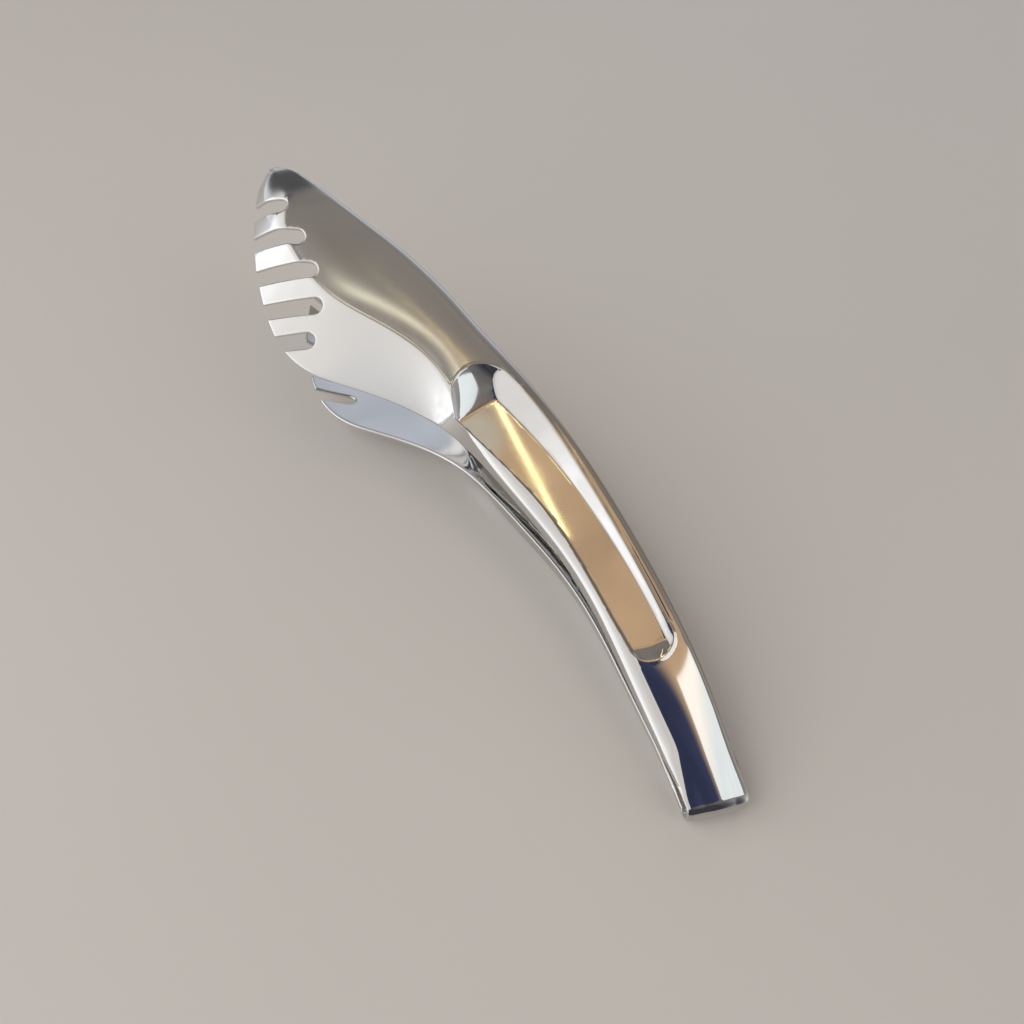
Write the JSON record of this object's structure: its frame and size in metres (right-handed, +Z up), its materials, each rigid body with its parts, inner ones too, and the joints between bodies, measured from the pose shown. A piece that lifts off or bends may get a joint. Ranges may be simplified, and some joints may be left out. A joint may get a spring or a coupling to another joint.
{
  "type": "serving tongs",
  "caption": "Curved steel serving tongs: mirrored channel arms with slotted comb heads and pressed thumb recesses, joined by a springy U-bend tail that opens them again.",
  "frame": {"origin": "middle of the footprint, on the surface the tongs lie on", "axes": "+X from the tail to the tips, +Y towards the toothed side, +Z up from the lower arm to the upper arm"},
  "size_m": [0.263, 0.072, 0.0843],
  "materials": {
    "arm_steel": "satin head, polished handle",
    "bow_steel": "polished"
  },
  "bodies": {
    "lower": {"lower_arm": "arm_steel", "tail_bow": "bow_steel"},
    "upper": {"upper_arm": "arm_steel"}
  },
  "joints": [
    {"name": "squeeze", "type": "hinge", "parent": "lower", "child": "upper", "pos_m": [-0.12308, -0.00567, 0.0053], "axis": [-0.3689, -0.9176, 0.1478], "range_deg": [-15.5, 4], "stiffness_Nm_per_rad": 4, "springref_deg": 1.86, "deforming": ["tail_bow"]}
  ]
}
